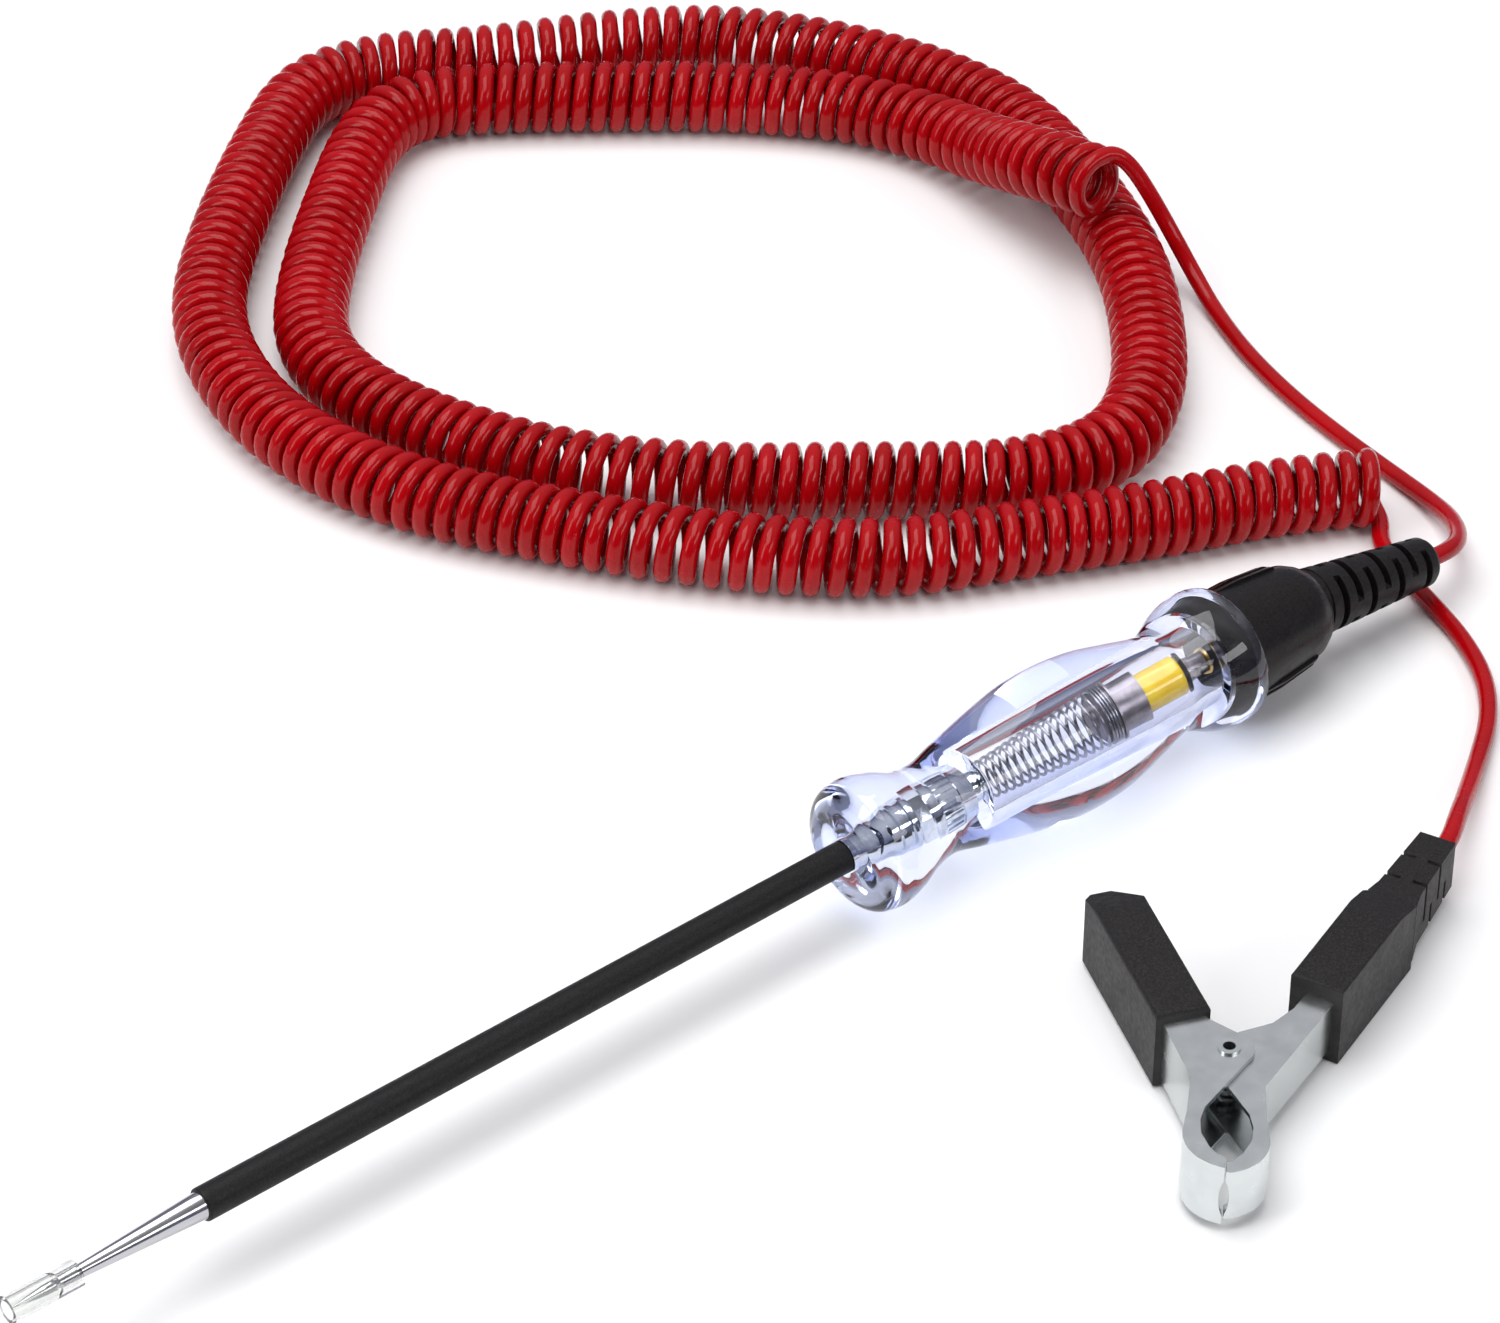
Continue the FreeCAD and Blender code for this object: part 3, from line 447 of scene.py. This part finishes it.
def yellow_glass():
    material, shader = new_material("yellow_glass", (0.90, 0.60, 0.02), 0.12, Transmission_Weight=0.15,
                                    Coat_Weight=0.6, Coat_Roughness=0.03)
    mottle(material, shader, noise(material, 160), (0.86, 0.52, 0.010), (0.95, 0.66, 0.03))
    vary_roughness(material, shader, noise(material, 500), 0.08, 0.18)
    return material


def make_materials():
    """Every material on the object, by the name that the tables of nodes use."""
    return {
        "clear_acetate": clear_acetate(),
        "clear_sleeve": clear_sleeve(),
        "yellow_glass": yellow_glass(),
        "red_vinyl": red_vinyl(),
        "black_tubing": black_tubing(),
        "grip_vinyl": grip_vinyl(),
        "cap_moulding": black_moulding("cap_moulding", 0.32, grain_scale=1800, depth=0.00004),
        "boot_rubber": black_moulding("boot_rubber", 0.45, grain_scale=1500, depth=0.00006),
        "steel_wire": plated("steel_wire", (0.26, 0.25, 0.26), (0.42, 0.41, 0.42), 0.25, 900),
        "zinc": plated("zinc", (0.62, 0.65, 0.65), (0.67, 0.70, 0.70), 0.24, 260),
        "insert_plate": plated("insert_plate", (0.66, 0.70, 0.74), (0.80, 0.83, 0.87), 0.07, 500),
        "polished_probe": plated("polished_probe", (0.42, 0.42, 0.44), (0.56, 0.56, 0.58), 0.14, 300,
                                 stretch=(0.1, 1, 1)),
        "lamp_plate": plated("lamp_plate", (0.24, 0.21, 0.21), (0.38, 0.34, 0.34), 0.38, 500),
        "brass": plated("brass", (0.55, 0.38, 0.14), (0.75, 0.55, 0.25), 0.25, 400),
    }


# ---------------------------------------------------------------- objects from lines and meshes

def link_object(name, data):
    made = bpy.data.objects.new(name, data)
    bpy.context.scene.collection.objects.link(made)
    return made


def finished_mesh(mesh, name, material):
    """Turns a bmesh into a smooth-shaded object with its faces turned outwards."""
    bmesh.ops.recalc_face_normals(mesh, faces=mesh.faces)
    for face in mesh.faces:
        face.smooth = True
    data = bpy.data.meshes.new(name)
    mesh.to_mesh(data)
    mesh.free()
    data.materials.append(material)
    return link_object(name, data)


def round_curve(name, line, radius, resolution):
    """Curve data for a round wire along a line of points."""
    data = bpy.data.curves.new(name, "CURVE")
    data.dimensions = "3D"
    data.bevel_depth = radius
    data.bevel_resolution = resolution
    data.use_fill_caps = True
    spline = data.splines.new("POLY")
    spline.points.add(len(line) - 1)
    weighted = np.concatenate([line, np.ones((len(line), 1))], axis=1)
    spline.points.foreach_set("co", weighted.ravel())
    return data


def curve_mesh(data):
    """The curve's mesh. The curve itself is removed."""
    holder = bpy.data.objects.new(data.name, data)
    mesh = bpy.data.meshes.new_from_object(holder)
    bpy.data.objects.remove(holder)
    bpy.data.curves.remove(data)
    return mesh


def smooth_line(points):
    """Points along the smooth spline that has the route's points as its control points."""
    data = bpy.data.curves.new("route", "CURVE")
    data.dimensions = "3D"
    data.resolution_u = 16
    spline = data.splines.new("NURBS")
    spline.points.add(len(points) - 1)
    for point, place in zip(spline.points, points):
        point.co = (*place, 1.0)
    spline.use_endpoint_u = True
    spline.order_u = 3
    mesh = curve_mesh(data)
    line = np.array([vertex.co[:] for vertex in mesh.vertices])
    bpy.data.meshes.remove(mesh)
    return line


# ---------------------------------------------------------------- lead

def along(line):
    """Distance of each point from the line's first."""
    return np.concatenate([[0], np.cumsum(np.linalg.norm(np.diff(line, axis=0), axis=1))])


def at_distances(line, distances):
    """Points on the line at the given distances from its first."""
    run = along(line)
    return np.stack([np.interp(distances, run, line[:, axis]) for axis in range(3)], axis=1)


def unit(vectors):
    return vectors / np.linalg.norm(vectors, axis=-1, keepdims=True)


def turn_distances(length):
    """Samples round the coil, counted in turns, and the distance of each along the coil's centreline.

    There is an odd number of half turns, so a coil that starts at its top ends at its bottom.
    """
    place = np.linspace(0, length, int(length / COIL_STEP))
    drift = np.ones(len(place))
    for share, reach, phase in PITCH_WAVES:
        drift += share * np.sin(place / reach + phase)
    turns = np.concatenate([[0], np.cumsum(np.diff(place) / (TURN_PITCH * drift)[1:])])
    count = round(turns[-1] - 0.5) + 0.5
    sampled = np.linspace(0, count, int(count * SAMPLES_PER_TURN) + 1)
    return sampled, np.interp(sampled, turns * count / turns[-1], place)


def coil_turns(centre):
    """The lead's line round the coil's centreline: left-handed, and starting at the coil's top."""
    length = along(centre)[-1]
    sampled, distance = turn_distances(length)
    middle = at_distances(centre, distance)
    ahead = at_distances(centre, np.minimum(distance + DIRECTION_REACH, length))
    behind = at_distances(centre, np.maximum(distance - DIRECTION_REACH, 0))
    tangent = unit(ahead - behind)
    up = unit(np.array([0, 0, 1]) - tangent * tangent[:, 2:3])
    side = np.cross(tangent, up)
    angle = -2 * math.pi * sampled
    return middle + TURN_R * (np.cos(angle)[:, None] * up + np.sin(angle)[:, None] * side)


def lead_line():
    """The whole lead: straight lead, curly stretch, and straight lead to the clip.

    Each straight route ends on the coil's own first or last turn, in place of its point there.
    """
    turns = coil_turns(smooth_line(COIL_ROUTE))
    entry, leaving = turns[0], turns[-1]
    before_entry = entry - unit(turns[1] - turns[0]) * COIL_LEAD_IN
    after_leaving = leaving + unit(turns[-1] - turns[-2]) * COIL_LEAD_IN
    first = smooth_line(LEAD_HANDLE_ROUTE[:-1] + [tuple(before_entry), tuple(entry)])
    last = smooth_line([tuple(leaving), tuple(after_leaving)] + LEAD_CLIP_ROUTE[1:] + [CLIP_LEAD_END])
    return np.concatenate([first[:-1], turns, last[1:]])


def make_lead(material):
    line = lead_line()
    data = round_curve("lead", line, CORD_D / 2, resolution=4)
    data.materials.append(material)
    lead = link_object("lead", data)
    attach(lead, "lead_end")
    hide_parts("cord_lead_handle", "cord_coil", "cord_lead_clip", "clip_lead_tail")


# ---------------------------------------------------------------- clear handle

def smooth_value(points, x):
    """A smooth curve through (x, value) points, read at x."""
    xs = np.array([p[0] for p in points])
    ys = np.array([p[1] for p in points])
    slope = np.gradient(ys, xs)
    i = np.clip(np.searchsorted(xs, x) - 1, 0, len(xs) - 2)
    width = xs[i + 1] - xs[i]
    t = np.clip((x - xs[i]) / width, 0, 1)
    return ((2 * t**3 - 3 * t**2 + 1) * ys[i] + (t**3 - 2 * t**2 + t) * width * slope[i]
            + (-2 * t**3 + 3 * t**2) * ys[i + 1] + (t**3 - t**2) * width * slope[i + 1])


def handle_profile():
    """The skin as (x, radius) pairs: nose, outside, rear face, thread's bore and lamp's bore."""
    rings = 170
    edge = 0.00025
    centre_r = 0.001
    nose = [(HANDLE_FRONT_X, r) for r in (centre_r, 0.004, 0.008)]
    xs = np.linspace(HANDLE_FRONT_X, HANDLE_REAR_X, rings)
    outside = [(x, float(smooth_value(HANDLE_OUTLINE, x))) for x in xs]
    rear_r = outside[-1][1]
    inside = [
        (HANDLE_REAR_X, rear_r - edge), (HANDLE_REAR_X, THREAD_BORE_R + edge),
        (HANDLE_REAR_X - edge, THREAD_BORE_R), (THREAD_BORE_X + edge, THREAD_BORE_R),
        (THREAD_BORE_X, THREAD_BORE_R - edge), (THREAD_BORE_X, BORE_R + edge),
        (THREAD_BORE_X - edge, BORE_R), (BORE_FRONT_X + edge, BORE_R),
        (BORE_FRONT_X, BORE_R - edge), (BORE_FRONT_X, centre_r),
    ]
    return nose + outside + inside


def make_handle(material):
    """The clear moulding as one closed skin turned round the tester's axis."""
    around = 192
    mesh = bmesh.new()
    rows = []
    for x, r in handle_profile():
        angles = [2 * math.pi * k / around for k in range(around)]
        rows.append([mesh.verts.new((x, -r * math.sin(a), AXIS_Z + r * math.cos(a))) for a in angles])
    for first, second in zip(rows, rows[1:]):
        for k in range(around):
            mesh.faces.new((first[k], first[k - 1], second[k - 1], second[k]))
    mesh.faces.new(rows[0])
    mesh.faces.new(rows[-1][::-1])
    handle = finished_mesh(mesh, "clear_handle", material)
    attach(handle, "handle")
    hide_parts("handle_shell")


# ---------------------------------------------------------------- contact spring

def spring_line(start, close_start, end):
    """Open turns that widen from start to close_start, then close turns to end."""
    turns = SPRING_OPEN_TURNS + SPRING_CLOSE_TURNS
    turn = np.linspace(0, turns, turns * SPRING_SAMPLES_PER_TURN + 1)
    share = np.minimum(turn / SPRING_OPEN_TURNS, 1)
    beyond = np.maximum(turn - SPRING_OPEN_TURNS, 0) / SPRING_CLOSE_TURNS
    x = start + (close_start - start) * share + (end - close_start) * beyond
    r = SPRING_FRONT_R + (SPRING_REAR_R - SPRING_FRONT_R) * share**SPRING_WIDENING
    angle = 2 * math.pi * turn
    return np.stack([x, r * np.cos(angle), AXIS_Z + r * np.sin(angle)], axis=1)


def make_contact_spring(material):
    """The wire spring between the insert and the lamp. Its close turns lie round the lamp's base."""
    start = BORE_FRONT_X + SPRING_WIRE_R + SPRING_CLEARANCE
    end = LAMP_FLANGE_X - SPRING_WIRE_R
    close_length = SPRING_CLOSE_TURNS * SPRING_CLOSE_PITCH
    line = spring_line(start, end - close_length, end)
    mesh = curve_mesh(round_curve("lamp_spring", line, SPRING_WIRE_R, resolution=3))
    for face in mesh.polygons:
        face.use_smooth = True
    mesh.materials.clear()
    mesh.materials.append(material)
    spring = link_object("lamp_spring", mesh)
    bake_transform(spring)
    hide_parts("contact_spring")


# ---------------------------------------------------------------- CAD nodes

def round_node(node, body, material, width):
    """A copy of a CAD node with rounded edges, in place of the node."""
    mesh = bmesh.new()
    mesh.from_mesh(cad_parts[node].data)
    bmesh.ops.remove_doubles(mesh, verts=mesh.verts, dist=MERGE_DISTANCE)
    bmesh.ops.dissolve_limit(mesh, angle_limit=FLAT_ANGLE, verts=mesh.verts, edges=mesh.edges)
    made = finished_mesh(mesh, node + "_finished", material)
    bevel = made.modifiers.new("edges", "BEVEL")
    bevel.width = width
    bevel.segments = EDGE_SEGMENTS
    bevel.limit_method = "ANGLE"
    bevel.angle_limit = EDGE_ANGLE
    made.modifiers.new("normals", "WEIGHTED_NORMAL")
    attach(made, body)
    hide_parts(node)
    return made


def dress_node(node, material):
    """A CAD node kept as it is, in a better material."""
    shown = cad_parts[node]
    shown.data.materials.clear()
    shown.data.materials.append(material)
    for face in shown.data.polygons:
        face.material_index = 0
    return shown


# ---------------------------------------------------------------- scene

def build():
    make_camera()
    make_floor()
    make_room()
    make_lights()
    materials = make_materials()
    make_handle(materials["clear_acetate"])
    make_contact_spring(materials["steel_wire"])
    for node, body, slot, material, width in ROUNDED_NODES:
        round_node(node, body, materials[material], width)
    for node, material in DRESSED_NODES.items():
        dress_node(node, materials[material])
    make_lead(materials["red_vinyl"])


build()
